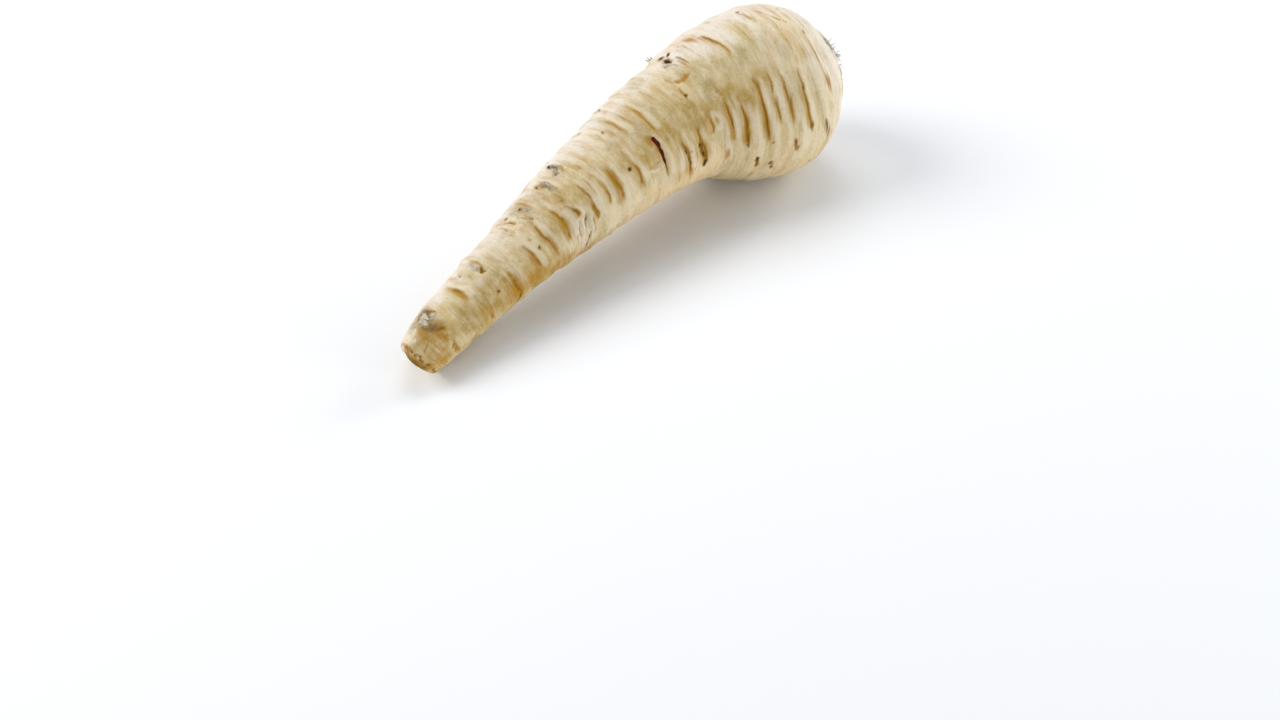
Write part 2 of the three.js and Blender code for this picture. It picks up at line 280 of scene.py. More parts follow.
# ochre spots and patches; the broad ones low on the tail and neck, stations 4 to 70 at angles -30 to 12,
# are painted shade with a painted golden reflection
ochreSpotsAndShade = [
    (4, 12, 5, 7, 0.6), (5.4, 74, 2.3, 4, 1), (5.6, 54, 1.6, 3, 0.6), (20.5, 54, 3, 4, 0.35),
    (21.1, 78, 1, 6, 0.6), (24, 8, 7, 6, 0.56), (25.2, 0, 1.4, 2.6, 0.9), (31.8, 31, 2, 2.4, 0.5),
    (34, 98, 0.8, 4, 0.7), (36, 8, 9, 7, 0.62), (36.5, 38, 2, 2.4, 0.6), (36.6, 0, 1.2, 4, 0.8),
    (39.2, 8, 1.9, 6.5, 1), (44, 2, 6, 4.5, 0.78), (46, -30, 14, 6, 0.5), (46, 70, 3, 5, 0.25),
    (48, -4, 10, 6, 0.64), (49.6, 28, 1.2, 4.5, 0.8), (52.8, 57, 0.8, 1.2, 0.7), (53, 116, 2.6, 3, 0.4),
    (59.2, 28, 1.2, 5, 0.7), (60, -14, 9, 6, 0.64), (62.6, 4, 1.2, 4, 0.5), (63, 105, 0.8, 4, 0.7),
    (65, 108, 1.4, 4.5, 0.45), (66.5, 36, 1.5, 5, 0.9), (70, -30, 10, 6, 0.55), (80.3, 23, 1.1, 2, 1.1),
    (88, 38, 1, 4, 0.7), (88, 84, 0.6, 4.5, 0.4), (92.6, 38, 1.9, 7, 1), (102.8, 14, 1.2, 4, 0.6),
    (103.6, 104, 0.8, 4.5, 0.4), (107, 14, 0.9, 4.5, 0.4), (108.4, 88, 1, 5.5, 0.6),
    (117, 78, 1.1, 7, 0.65), (119, 8, 1, 4, 0.35), (122, 22, 6, 7, 0.35), (124, 16, 1.2, 7, 0.55),
    (124.6, -14, 1.4, 3.4, 0.6), (128, 112, 4.5, 7, 0.2), (131, -4, 2.2, 4, 0.5), (132, 6, 5, 8, 0.6),
    (134.4, 27, 1.5, 4.5, 0.5), (138.2, 26, 1, 3, 0.75), (141, 26, 1.2, 2.6, 0.7),
    (143.2, -9, 1.2, 3, 0.6), (143.6, -11, 1.3, 3.2, 0.9), (146.2, 20, 1.6, 8, 0.8),
    (152.6, 8, 1.7, 8.5, 0.85), (153.5, -14, 1.2, 4, 0.5), (159.2, -24, 1.2, 2.6, 0.9),
    (160.9, 14, 1.6, 9, 0.75), (166, 26, 1.3, 5, 0.6), (168, 60, 4, 4, 0.3), (171.9, 24, 1.4, 7, 0.6),
    (176, 92, 3.5, 6, 0.22), (178.6, 20, 1.3, 8, 0.5), (184, 53, 3, 4, 0.45), (187, 84, 1.8, 4.5, 0.5),
    (191.2, 28, 1.4, 5, 0.8),
]
# pale scuffs; the broad ones near angle 15 at stations 86, 96, 168 and 180 are painted bounce light from
# below
paleScuffsAndBounce = [
    (14.5, 66, 2.5, 3.5, 0.5), (28.6, 68, 4.5, 4, 0.6), (33, 108, 8, 5, 0.4), (42, 78, 5, 4.5, 0.55),
    (76, 8, 1.6, 3.4, 0.6), (81.8, 8, 1.2, 4, 0.5), (84.6, 0, 0.8, 5, 0.5), (86, 14, 5, 8, 0.5),
    (96, 16, 6, 8, 0.5), (118, 16, 1.4, 6, 0.3), (128.6, 20, 1.2, 6, 0.35), (130, 100, 5, 8, 0.3),
    (137.8, 8, 1.6, 6, 0.5), (141.6, 18, 1.6, 8, 0.6), (149.2, 14, 1.4, 9, 0.6), (156.6, 8, 1.8, 10, 0.6),
    (163.6, 12, 1.2, 9, 0.45), (168, 18, 4, 8, 0.4), (168.6, 24, 1.4, 9, 0.55), (174.6, 18, 1.4, 9, 0.5),
    (175, 33, 1.2, 5, 0.5), (180, 18, 4, 9, 0.4), (185.6, 10, 2.4, 7, 0.35),
]
# rough grey-brown scabs on the scars
scabs = [
    (4.5, 112, 3, 3.5, 0.7), (5.4, 76, 2, 4.2, 0.5), (8.4, 95, 3.4, 6, 1.1), (24, 232, 1.8, 4, 0.7),
    (32.2, 101, 1.8, 3.4, 0.6), (44, 196, 2, 3.4, 0.8), (57.6, 100, 1.2, 5, 0.6),
    (61.2, 97, 2.2, 4.5, 0.75), (63, 262, 2.2, 4, 0.8), (68.5, 103, 1.6, 3, 0.4), (69, 84, 2, 4, 0.25),
    (72.6, 42, 1.8, 3, 0.45), (73.6, 94, 1.4, 6, 0.85), (76, 16, 2.6, 5, 0.5), (81.2, 107, 2.3, 4, 0.95),
    (96, 205, 2.4, 4.6, 0.9), (112, 158, 1.6, 6, 0.6), (131, 203, 3.4, 5, 0.7),
    (139.6, 97, 2.4, 4.4, 0.75), (142.4, 104, 1.8, 3.6, 0.8), (150, 182, 2.4, 4.6, 0.8),
    (185, 66, 3, 4, 0.25), (199, 50, 1.6, 5, 0.45), (202.4, 300, 1.8, 6, 0.6), (203, 130, 1.6, 6, 0.7),
    (203.6, 62, 1.6, 7, 0.9), (204, 230, 1.4, 8, 0.85), (204.2, 20, 1.2, 6, 0.8),
]
# broad tints: khaki is painted shade on the flank and underside that face the camera, drab grey-tan is
# painted shade above it; the patches on the far side are random tone
khakiShadeAndTonePatches = [
    (3, 20, 6, 9, 0.9), (5, 56, 4, 6, 0.7), (10, 38, 12, 10, 0.7), (20, 2, 12, 7, 0.9),
    (20, 300, 20, 12, 0.6), (20.5, 54, 4, 5, 0.7), (28, 26, 16, 9, 1), (34, -26, 14, 7, 0.8),
    (38, 2, 16, 8, 1), (38, 48, 12, 8, 0.62), (40, 205, 30, 14, 0.8), (44, 12, 12, 9, 0.9),
    (52, -12, 14, 7, 1), (54, -32, 18, 8, 0.95), (58, 30, 9, 7, 0.7), (59, 55, 5, 5, 0.45),
    (64, -14, 9, 6, 0.8), (66, 52, 8, 9, 0.9), (74, 62, 7, 8, 0.7), (76, -32, 12, 7, 0.9),
    (80, 250, 26, 12, 0.7), (104, 48, 8, 8, 0.5), (116, 42, 13, 9, 1), (120, 215, 30, 18, 0.8),
    (122, 12, 9, 7, 0.5), (128, 50, 6, 6, 0.8), (132, 41, 13, 9, 1.1), (150, 40, 12, 7, 1.1),
    (163, 43, 8, 6, 0.8), (170, 240, 20, 20, 0.7),
]
drabShadeAndTonePatches = [
    (6, 94, 7, 9, 1), (21, 60, 5, 5, 0.75), (24, 72, 10, 6, 0.7), (34, 78, 12, 6, 0.6),
    (50, 76, 8, 6, 0.5), (53, 116, 3.5, 4, 0.8), (60, 56, 4, 5, 0.5), (60, 74, 8, 6, 0.6),
    (62, 94, 9, 8, 1), (70, 170, 26, 10, 0.7), (74, 99, 6, 7, 0.8), (84, 70, 8, 6, 0.7),
    (88, 84, 6, 6, 0.5), (100, 290, 30, 12, 0.5), (112, 72, 22, 8, 0.9), (120, 70, 11, 7, 0.8),
    (130, 62, 16, 8, 0.6), (142, 61, 10, 7, 0.9), (150, 160, 24, 16, 0.6), (159, 61, 13, 7, 0.9),
    (173, 60, 9, 9, 0.8), (186, 150, 12, 18, 0.4),
]
# drawn marks: mask, width in mm, rise in mm, strength, points as (station, angle)
strokes = [
    # knot on the shoulder: black pit, rough pale cushion with a painted highlight on its lip, painted
    # golden shadow in the hollow below it
    ("soil", 1.3, -0.9, 1.3, [(142.9, 113), (143.0, 108), (141.6, 98)]),
    ("soil", 0.8, -0.2, 1.1, [(145.3, 115), (144.7, 110)]),
    ("soil", 0.5, -0.3, 0.7, [(144.2, 101), (144.2, 90), (144.2, 83)]),
    ("ochre", 0.5, -0.3, 0.7, [(143.5, 98), (143.1, 88), (143.1, 80)]),
    ("pale", 2.8, 0.3, 0.55, [(139.8, 103), (138.8, 94), (139.6, 86)]),
    ("pale", 0.8, 0.4, 0.7, [(135.8, 91), (136, 84), (137.4, 80.5)]),
    ("ochre", 1.7, -0.6, 1.0, [(134.4, 86), (134.8, 79), (136.8, 76.5), (139.4, 75.5), (141.6, 75)]),
    ("soil", 0.5, 0, 0.7, [(138.2, 98), (138.8, 94)]),
    ("soil", 0.5, 0, 0.6, [(140.6, 93), (141, 88)]),
    ("ochre", 0.6, -0.2, 0.8, [(134.8, 70), (134.3, 65), (134.3, 62), (134.3, 57)]),
    ("soil", 0.8, -0.2, 0.9, [(134.3, 63), (134.8, 60)]),
    ("soil", 0.5, -0.1, 0.4, [(127, 68), (126.4, 63)]),
    ("stain", 0.6, -0.1, 0.7, [(122.5, 58), (122.5, 55)]),
    ("ochre", 0.8, 0, 0.9, [(149.6, 72), (150.1, 70)]),
    ("ochre", 0.8, -0.1, 0.4, [(150.6, 70), (152.8, 68), (154.9, 67)]),
    ("ochre", 0.5, -0.2, 0.3, [(134.3, 60), (137.6, 58), (142, 53), (145.3, 50)]),
    # dark red gash, and the fold below it, with painted shade along its groove and a painted highlight on
    # its ridge
    ("red", 0.9, -0.55, 1.25, [(114.3, 48), (114.8, 41), (114.5, 33), (114.3, 24), (114.1, 13)]),
    ("stain", 2.0, 0, 0.55, [(113.9, 51), (114.4, 40), (114.2, 27)]),
    ("soil", 0.5, -0.3, 0.7, [(114.2, 18), (114.1, 8), (114.1, 1)]),
    ("ochre", 1.6, -0.5, 0.7, [(112.6, 55), (112.6, 50), (112.4, 43)]),
    ("ochre", 1.0, -0.5, 0.6, [(106.8, 25), (109, 22), (110.7, 23), (112.4, 25)]),
    ("pale", 1.0, 0.2, 0.8, [(106.2, 21), (109, 17), (111.3, 17)]),
    ("ochre", 1.5, 0, 0.35, [(112.4, 15), (112.4, 5)]),
    ("pale", 3, 0.2, 0.6, [(102.9, 28), (105.7, 20)]),
    # soil caught in the creases under the swelling
    ("stain", 1.8, -0.3, 1.1, [(130.4, 18), (130.9, 7), (131.5, -4)]),
    ("soil", 0.5, -0.3, 0.9, [(123.8, 22), (124.2, 8), (124.8, -10)]),
    ("stain", 0.9, -0.3, 0.8, [(132, 32), (131.5, 25), (132, 18)]),
    ("ochre", 1.6, 0, 0.6, [(128.7, 5), (128.1, -2)]),
    ("soil", 0.5, 0, 0.6, [(126.4, -13), (127, -7)]),
    ("soil", 0.6, 0, 0.6, [(125.3, 12), (126.4, 13)]),
    # brown spots on the underside of the swelling
    ("stain", 1.7, -0.3, 1.2, [(157.8, -15), (158.9, -20), (159.6, -27)]),
    ("red", 1.2, 0, 0.75, [(158.4, -16), (159.8, -26)]),
    ("stain", 1.3, -0.2, 1.1, [(173.6, -2), (174.6, -13)]),
    ("red", 1.0, 0, 0.72, [(174.1, -5), (174.7, -12)]),
    ("stain", 1.6, -0.1, 0.6, [(165.6, -20), (166.8, -29)]),
    ("stain", 1.2, -0.1, 1.0, [(179.9, 7), (179.9, 1)]),
    ("soil", 0.8, -0.2, 0.9, [(186.6, 5), (187.4, -2), (187.8, -8)]),
    # streaks over the top of the shoulder
    ("ochre", 0.9, -0.15, 0.85, [(171.4, 107), (172.0, 95), (173.1, 83)]),
    ("ochre", 1.0, -0.15, 0.85, [(175.9, 96), (179.3, 88), (184.4, 79)]),
    # two eyelet scars on the neck
    ("soil", 1.1, 0.2, 1.0, [(81.5, 120), (80.9, 112)]),
    ("ochre", 1.1, -0.2, 0.7, [(82.6, 106), (83.0, 99), (81.4, 92)]),
    ("pale", 1.2, 0.5, 1.0, [(79.8, 103), (80.9, 102)]),
    ("soil", 0.6, -0.2, 0.7, [(79.2, 100), (80.3, 95)]),
    ("ochre", 1.6, 0, 0.45, [(82.6, 93), (82.6, 88)]),
    ("pale", 0.9, 0.7, 0.9, [(73, 103), (74.2, 93), (75.3, 85)]),
    ("stain", 0.6, -0.4, 0.8, [(71.9, 102), (73, 93), (73.6, 87)]),
    ("soil", 0.8, 0, 0.9, [(71.3, 108), (70.8, 103)]),
    ("soil", 0.8, 0, 0.9, [(74.2, 82), (74.7, 80)]),
    ("soil", 1.4, 0, 0.35, [(71.9, 113), (71.3, 98)]),
    # fine wrinkles and weathered patches
    ("soil", 0.5, -0.4, 0.5, [(73, 58), (73.6, 53), (73.6, 45)]),
    ("soil", 0.5, -0.4, 0.55, [(72.5, 50), (73, 42), (73.6, 35)]),
    ("ochre", 1.2, 0, 0.5, [(72.5, 72), (71.9, 60)]),
    ("stain", 0.9, 0, 0.7, [(71.9, 65), (71.9, 63)]),
    ("soil", 0.6, -0.3, 0.5, [(57.3, 98), (57.9, 92), (58.4, 87), (59, 80), (59.6, 77)]),
    ("ochre", 2, 0, 0.4, [(59.6, 102), (60.1, 82)]),
    ("ochre", 1.6, 0, 0.35, [(62.4, 112), (63.5, 103)]),
    ("stain", 0.6, -0.4, 0.6, [(53.9, 108), (54.5, 102), (54.5, 92)]),
    ("pale", 0.8, 0.5, 0.8, [(51.7, 112), (51.7, 97), (52.3, 83), (51.7, 73)]),
    # torn skin: pale shreds with dark slits between them
    ("soil", 0.8, -0.8, 0.75, [(76.4, 31), (74.2, 20), (72.5, 11)]),
    ("soil", 0.8, -0.8, 0.75, [(74.7, 4), (73, -7), (71.9, -23)]),
    ("pale", 0.9, 0.7, 1.1, [(78, 27), (76, 14), (74.8, -2)]),
    ("pale", 0.9, 0.7, 1.1, [(73.8, 28), (71.9, 14), (70.9, 0), (70.2, -14)]),
    ("pale", 0.7, 0.5, 0.9, [(71.8, 36), (70, 22), (69.2, 6), (68.8, -8)]),
    ("pale", 0.7, 0.4, 0.8, [(69.6, 32), (68.2, 14), (67.6, -4)]),
    ("ochre", 0.5, -0.4, 0.7, [(72.6, 30), (70.9, 20), (70, 4)]),
    ("ochre", 0.5, -0.4, 0.6, [(69, 16), (68.4, 0), (68, -14)]),
    ("stain", 0.7, -0.3, 0.5, [(80.6, 38), (81.2, 28), (80.6, 14)]),
    ("ochre", 1.6, -0.1, 1.1, [(80.2, 32), (80.2, 22), (80, 15)]),
    ("ochre", 0.6, -0.2, 0.7, [(77.9, 20), (77.4, 7), (76.8, -3)]),
    # eye and crease near the tip
    ("stain", 1.2, -1.0, 1.0, [(33.7, 85), (33.1, 77), (33.7, 72)]),
    ("pale", 0.9, 0.8, 1.0, [(32, 92), (33.4, 90)]),
    ("ochre", 0.8, 0, 0.8, [(33.7, 105), (34.2, 98), (34.2, 92)]),
    ("soil", 1.5, 0, 0.25, [(31.4, 107), (31.4, 98)]),
    ("pale", 0.8, 0.5, 0.7, [(22.9, 120), (22.1, 98), (22.6, 78), (22.6, 62)]),
    ("stain", 1.2, -0.3, 0.75, [(25.7, 7), (25.2, -5)]),
    ("stain", 1.0, -0.3, 0.6, [(9.4, 17), (8.8, 3), (8.2, -13)]),
    # grey scab, brown streaks and browned rim of the worn end
    ("soil", 1.2, 0.3, 0.72, [(6.3, 106), (7.7, 115), (8.8, 110)]),
    ("soil", 1.0, 0.2, 0.7, [(8.8, 110), (10.5, 97), (11.6, 83)]),
    ("pale", 1.8, 0.3, 0.8, [(9.7, 88), (10.6, 77), (11.1, 70)]),
    ("ochre", 3.0, 0, 1.1, [(7.2, 86), (7.9, 70), (8.8, 60), (9.9, 48)]),
    ("stain", 1.8, -0.3, 1.15, [(7.6, 74), (8.8, 60), (9.9, 51)]),
    ("ochre", 1.8, 0, 0.75, [(4.8, 102), (5.4, 88), (6.5, 73)]),
    ("soil", 2.2, 0, 0.6, [(5.8, 84), (6.8, 72), (8.4, 58)]),
    ("ochre", 1.8, 0, 0.8, [(7.1, 64), (8.0, 50), (9.2, 38)]),
    ("ochre", 1.2, 0, 0.9, [(8.4, 42), (8.2, 34), (8.2, 25)]),
    ("ochre", 1.4, -0.4, 0.9, [(9.4, 20), (9.2, 3), (8.8, -15)]),
    ("ochre", 1.0, -0.1, 0.8, [(4.6, 56), (3.2, 50), (2.0, 41)]),
    ("ochre", 0.9, -0.1, 0.7, [(5.2, 28), (3.7, 23), (2.0, 15)]),
    ("ochre", 1.0, -0.1, 0.7, [(5.6, 8), (4.4, 0), (2.6, -23)]),
    ("ochre", 0.8, 0, 0.7, [(3.4, 37), (2.0, 30), (0.9, 13)]),
    ("ochre", 0.8, 0, 0.6, [(6.4, 48), (5.4, 40), (4.6, 33)]),
    ("pale", 0.9, 0.1, 0.6, [(4.2, 47), (2.6, 36)]),
    ("pale", 0.8, 0.1, 0.5, [(4.6, 15), (2.8, 8)]),
    ("stain", 0.8, 0, 0.85, [(-0.2, 66), (0.3, 43), (-0.5, 25), (-0.2, 12), (-0.9, -14)]),
    ("stain", 0.9, 0, 0.9, [(-1.2, 104), (-0.7, 80), (-0.3, 62)]),
    ("soil", 0.8, 0, 0.7, [(-0.8, 3), (-0.8, -18)]),
    ("pale", 2.4, 0.2, 0.8, [(0.9, 116), (0.9, 92), (1.6, 76)]),
    ("pale", 1.8, 0.1, 0.5, [(3.2, 98), (3.4, 82)]),
]


def chance(n):
    # the solid takes its loose creases from the same rule, so they fall in the same places
    x = math.sin(n * 12.9898) * 43758.5453
    return x - math.floor(x)


for i in range(root["looseCreases"]):
    station = 16 + 178 * chance(5 * i + 1) ** 0.72
    angle = 140 + 165 * chance(5 * i + 2)
    span = 16 + 30 * chance(5 * i + 3)
    lean = 0.12 * (chance(5 * i + 4) - 0.5)
    depth = 0.35 + 0.5 * chance(5 * i + 5)
    width, tint = 0.6 + 0.4 * chance(7 * i + 900), 0.15 + 0.75 * chance(3 * i + 700)
    faintCreases.append((station, angle, span, lean, depth, width, tint))

dice = np.random.default_rng(417)


def strew(marks, count, *ranges):
    # for each value of a mark: its lowest, its spread, and a power that makes high ones rarer
    for i in range(count):
        marks.append([low + spread * dice.random() ** power for low, spread, power in ranges])


strew(faintCreases, root["hairCreases"], (6, 192, 0.85), (0, 360, 1), (4, 14, 2),
      (-0.05, 0.1, 1), (0.04, 0.1, 1), (0.3, 0.25, 1), (0, 0.35, 2))
for station, angle, span, lean, *size in faintCreases:
    down = 1 if 90 < angle < 270 else -1
    creases.append(([(station - down * span * lean, angle - down * span),
                     (station + down * span * lean, angle + down * span)], *size))


def splineTangents(points, power):
    ends = np.vstack([2 * points[0] - points[1], points, 2 * points[-1] - points[-2]])
    gaps = np.linalg.norm(np.diff(ends, axis=0), axis=1)[:, None] ** power
    step, before, after = gaps[1:-1], gaps[:-2], gaps[2:]
    a, b, c, d = ends[:-3], ends[1:-2], ends[2:-1], ends[3:]
    leave = step * ((b - a) / before - (c - a) / (before + step) + (c - b) / step)
    arrive = step * ((c - b) / step - (d - b) / (step + after) + (d - c) / after)
    return leave, arrive


def splinePoints(points, count, power):
    # evenly spaced points on a smooth curve through the given ones
    points = np.asarray(points, float)
    leave, arrive = splineTangents(points, power)
    t = np.linspace(0, len(points) - 1, 4000)
    k = np.minimum(t.astype(int), len(points) - 2)
    w = (t - k)[:, None]
    curve = ((2 * w**3 - 3 * w**2 + 1) * points[k] + (w**3 - 2 * w**2 + w) * leave[k]
             + (3 * w**2 - 2 * w**3) * points[k + 1] + (w**3 - w**2) * arrive[k])
    run = np.r_[0, np.cumsum(np.linalg.norm(np.diff(curve, axis=0), axis=1))]
    even = np.linspace(0, run[-1], count)
    return np.stack([np.interp(even, run, curve[:, i]) for i in range(points.shape[1])], 1)


def smooth(value, low, high):
    t = np.clip((value - low) / (high - low), 0, 1)
    return t * t * (3 - 2 * t)


def turnBetween(a, b):
    return (a - b + 180) % 360 - 180


def patchyNoise(station, angle, cell, cellsRound, seed):
    # soft random field from -1 to 1, closed round the root; cell is its length in mm
    table = np.random.default_rng(seed).random((int(260 / cell) + 4, cellsRound)) * 2 - 1
    u = (station + 20) / cell
    v = (angle % 360) / 360 * cellsRound
    i, j = np.floor(u).astype(int), np.floor(v).astype(int) % cellsRound
    fu, fv = smooth(u - np.floor(u), 0, 1), smooth(v - np.floor(v), 0, 1)
    below = table[i, j] * (1 - fv) + table[i, (j + 1) % cellsRound] * fv
    above = table[i + 1, j] * (1 - fv) + table[i + 1, (j + 1) % cellsRound] * fv
    return below * (1 - fu) + above * fu


def noiseSum(station, angle, *layers):
    # each layer: strength, cell in mm, cells round the root, seed
    return sum(strength * patchyNoise(station, angle, *layer) for strength, *layer in layers)


middle = splinePoints(root["middleLine"], 2001, 0)
middleRun = np.linspace(0, root["length"], len(middle))
middleAim = np.gradient(middle, axis=0)
middleAim /= np.linalg.norm(middleAim, axis=1)[:, None]


def framesAt(station):
    clipped = np.clip(station, 0, root["length"])
    centre = np.stack([np.interp(clipped, middleRun, middle[:, i]) for i in range(3)], -1)
    along = np.stack([np.interp(clipped, middleRun, middleAim[:, i]) for i in range(3)], -1)
    along /= np.linalg.norm(along, axis=-1)[..., None]
    centre = centre + (station - clipped)[..., None] * along
    up = np.array([0.0, 0.0, 1.0]) - along[..., 2:3] * along
    up /= np.linalg.norm(up, axis=-1)[..., None]
    return centre, along, np.cross(along, up), up


def markField(station, angle, radius, marks, wander=0.4, cell=1.8):
    # soft spots with wandering edges; where they overlap the strongest wins
    cellsRound = round(110 / cell)
    x = station + wander * patchyNoise(station, angle, cell, cellsRound, 61)
    y = wander * patchyNoise(station, angle, cell, cellsRound, 62)
    field = np.zeros(np.broadcast(station, angle).shape)
    for at, around, length, width, strength in marks:
        along = (x - at) / length
        across = (np.radians(turnBetween(angle, around)) * radius + y) / width
        field = np.maximum(field, strength * np.exp(-along**2 - across**2))
    return field


def creaseField(station, angle):
    # a crease is crisp towards the crown and fades towards the tip; it starts thin and
    # faint at its upper end and grows wide and stained at its lower one
    wobble = noiseSum(station, angle, (0.45, 5.0, 24, 41), (0.25, 1.9, 64, 42))
    broken = 0.35 + 0.65 * smooth(patchyNoise(station, angle, 3.2, 36, 43), -0.7, 0.2)
    height = np.zeros(np.broadcast(station, angle).shape)
    stain, halo, pillowHighlight = np.zeros_like(height), np.zeros_like(height), np.zeros_like(height)
    for path, depth, width, tint in creases:
        stations, angles = np.array(path, float).T
        steps = turnBetween(angles, angles[0]) / turnBetween(angles[-1], angles[0])
        fall = turnBetween(angle, angles[0]) / turnBetween(angles[-1], angles[0])
        reach = smooth(fall, -0.12, 0.15) * (1 - smooth(fall, 0.88, 1.1))
        reach = reach * (0.72 + 0.28 * smooth(fall, 0.05, 0.6))
        wide = width * (0.72 + 0.4 * smooth(fall, 0.1, 0.8))
        away = station + wobble - np.interp(fall, steps, stations)
        above, below = np.clip(away, 0, None), np.clip(-away, 0, None)
        groove = np.exp(-(above / (crease["crispSide"] * wide)) ** 2
                        - (below / (crease["fadingSide"] * wide)) ** 2)
        lip = np.exp(-((away - crease["lipAway"] * wide) / (crease["lipWidth"] * wide)) ** 2)
        height += depth * reach * (crease["lipHeight"] * lip - crease["grooveDepth"] * groove)
        core = np.exp(-(above / 0.6) ** 2 - (below / (0.35 + 0.45 * wide)) ** 2)
        glow = np.exp(-(above / (0.4 + 0.4 * wide)) ** 2 - (below / (0.9 + 2.0 * wide)) ** 2)
        stain = np.maximum(stain, tint * broken * reach * core)
        halo = np.maximum(halo, tint * reach * glow)
        # painted highlight on the raised skin beyond the lip of the deeper creases
        if depth > crease["highlightFrom"]:
            puff = (away - crease["highlightAway"] * wide) / (crease["highlightWidth"] * wide)
            pillowHighlight = np.maximum(pillowHighlight, reach * np.exp(-puff**2))
    return height, stain, halo, pillowHighlight


def strokeField(station, angle, radius):
    # drawn marks wander, thicken and thin as they go, and taper at both ends
    shape = np.broadcast(station, angle).shape
    masks = {mask: np.zeros(shape) for mask in ("soil", "ochre", "stain", "red", "pale")}
    height = np.zeros(shape)
    wander = [0.4 * patchyNoise(station, angle, 2.1, 60, seed) for seed in (51, 52)]
    pressure = 0.75 + 0.45 * patchyNoise(station, angle, 1.6, 70, 53)
    for mask, width, rise, strength, path in strokes:
        nearest, travel, total = np.full(shape, 1e3), np.zeros(shape), 0.0
        loose = 0.3 if mask == "red" else 1.0
        for (fromStation, fromAngle), (toStation, toAngle) in zip(path, path[1:]):
            x = station + loose * wander[0] - fromStation
            y = np.radians(turnBetween(angle, fromAngle)) * radius + loose * wander[1]
            stepX = toStation - fromStation
            stepY = np.radians(turnBetween(toAngle, fromAngle)) * radius
            reach = np.hypot(stepX, stepY)
            t = np.clip((x * stepX + y * stepY) / reach**2, 0, 1)
            gap = np.hypot(x - t * stepX, y - t * stepY)
            travel = np.where(gap < nearest, total + t * reach, travel)
            nearest = np.minimum(nearest, gap)
            total = total + reach
        left = 1 - travel / total
        # red strokes start blunt, and the others are thin at both ends
        taper = 0.45 + 0.55 * smooth(left if mask == "red" else 1 - abs(2 * left - 1), 0, 0.5)
        soft = np.exp(-(nearest / (max(0.7 * width, 0.5) * taper * (0.55 + 0.6 * pressure))) ** 2)
        masks[mask] = np.maximum(masks[mask], strength * soft * np.clip(0.35 + 0.8 * pressure, 0, 1))
        height += 0.7 * rise * taper * soft
    return height, masks


outline = np.vstack([
    splinePoints(root["breakOutline"], root["breakRings"] + 1, 0.5)[:-1],
    splinePoints(root["skinOutline"], root["bodyRings"] + 1, 0.5)[:-1],
    splinePoints(root["crownOutline"], root["crownRings"] + 1, 0.5),
])
station = outline[1:-1, 0][:, None]
radius = outline[1:-1, 1][:, None]
angle = (np.arange(root["sectors"]) * 360 / root["sectors"])[None, :]
turn = np.radians(angle)

onSkin = smooth(radius, 5, root["breakRadius"])
inCrown = smooth(station + 0.9 * patchyNoise(station, angle, 4.0, 12, 25), *crown["reach"])
creaseHeight, stain, halo, pillowHighlight = creaseField(station, angle)
strokeHeight, drawn = strokeField(station, angle, radius)
# slightly oval and three-sided, with faint rings
relief = root["oval"] * radius * np.cos(2 * turn + 0.021 * station)
relief = relief + root["threeSided"] * radius * np.cos(3 * turn - 0.034 * station + 1)
relief = relief + root["ringWave"] * np.sin(0.61 * station + 0.9 * np.sin(turn + 0.8))
for at, around, length, width, rise in lumps:
    along = (station - at) / length
    across = np.radians(turnBetween(angle, around)) * radius / width
    relief = relief + rise * np.exp(-along**2 - across**2)
fine = noiseSum(station, angle, *root["fineRelief"])
relief = relief + creaseHeight + strokeHeight + fine
# the worn end: a nearly flat facet that slopes from the skin down to the break
facet = root["breakRadius"] + 0.5 - root["wornDepth"] * (1 - smooth(station, *root["wornReach"]))
facet = facet + 0.5 * np.clip(station - 7, 0, None)
wornTurn = np.radians(turnBetween(angle, root["wornAngle"]))
worn = facet / np.maximum(np.cos(wornTurn), 0.2) - radius
wear = smooth(relief - worn + 0.5 * fine, -0.3, 0.6)
relief = np.minimum(relief, worn + 0.6 * fine + 0.6 * strokeHeight)
out = radius + onSkin * (1 - inCrown) * relief
out = out + inCrown * 0.05 * radius * np.sin(3 * turn + 0.9 * radius)
out = out + inCrown * smooth(16 - radius, 0, 3) * 0.9 * patchyNoise(radius * 2, angle, 5.0, 11, 24)
ragged = smooth(station, *crown["raggedReach"]) * (radius < crown["raggedRadius"])
ragged = ragged * np.clip(radius / 4, 0, 1)
lift = ragged * (crown["roughness"][0] * patchyNoise(radius * 3, angle, 5.0, 13, 21)
                 + crown["roughness"][1] * patchyNoise(radius * 6, angle, 5.0, 37, 22))
torn = (1 - smooth(radius, *snapped["torn"])) * (station < 2)
lift = lift - torn * snapped["roughness"] * patchyNoise(radius * 4, angle, 5.0, 19, 23)

nearBreak = np.clip(1 - station / root["slantReach"], 0, None)
slant = root["breakSlant"] * np.cos(turn - 0.91) * (radius / root["breakRadius"]) * nearBreak**2
centre, along, side, up = framesAt(station - slant)
shape = (centre + lift[..., None] * along
         + out[..., None] * (np.cos(turn)[..., None] * side + np.sin(turn)[..., None] * up))
poles = framesAt(outline[[0, -1], 0])[0]
verts = np.vstack([poles[:1], shape.reshape(-1, 3), poles[1:]])
verts[:, 2] = np.maximum(verts[:, 2], root["restLevel"])

rings, sectors = shape.shape[:2]
j, k = np.meshgrid(np.arange(rings - 1), np.arange(sectors), indexing="ij")
a = 1 + j * sectors + k
b = 1 + j * sectors + (k + 1) % sectors
faces = np.stack([a, a + sectors, b + sectors, b], -1).reshape(-1, 4).tolist()
last = len(verts) - 1
lastRing = last - sectors
faces += [(0, 1 + n, 1 + (n + 1) % sectors) for n in range(sectors)]
faces += [(last, lastRing + (n + 1) % sectors, lastRing + n) for n in range(sectors)]

